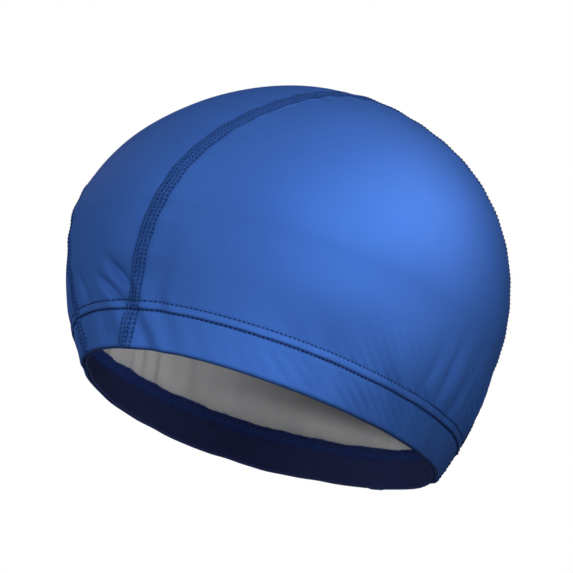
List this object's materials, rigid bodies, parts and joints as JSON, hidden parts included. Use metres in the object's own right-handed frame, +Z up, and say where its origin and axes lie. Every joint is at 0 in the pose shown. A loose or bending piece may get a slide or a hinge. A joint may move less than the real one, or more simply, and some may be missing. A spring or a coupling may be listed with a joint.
{
  "type": "swim cap",
  "caption": "Close-fitting three-panel swim cap of coated stretch knit, with a curved flat seam each side of a front-to-back strip and a turned hem with an inner facing.",
  "frame": {"origin": "middle of the head opening, in the plane of the hem edge, where the cap sits on a head", "axes": "+Z up as worn, -Y towards the wearer's front, +X towards the wearer's left; the hem plane is tipped 18.5 degrees about X, front up"},
  "size_m": [0.16, 0.1881, 0.1622],
  "materials": {
    "coated_knit": "blue stretch knit with a smooth satin coating outside and a light grey back",
    "hem_facing": "matt navy knit facing with an overlocked upper edge"
  },
  "bodies": {
    "root": {"center_panel": "coated_knit", "left_side_panel": "coated_knit", "right_side_panel": "coated_knit", "inner_hem_band": "hem_facing"}
  },
  "joints": []
}
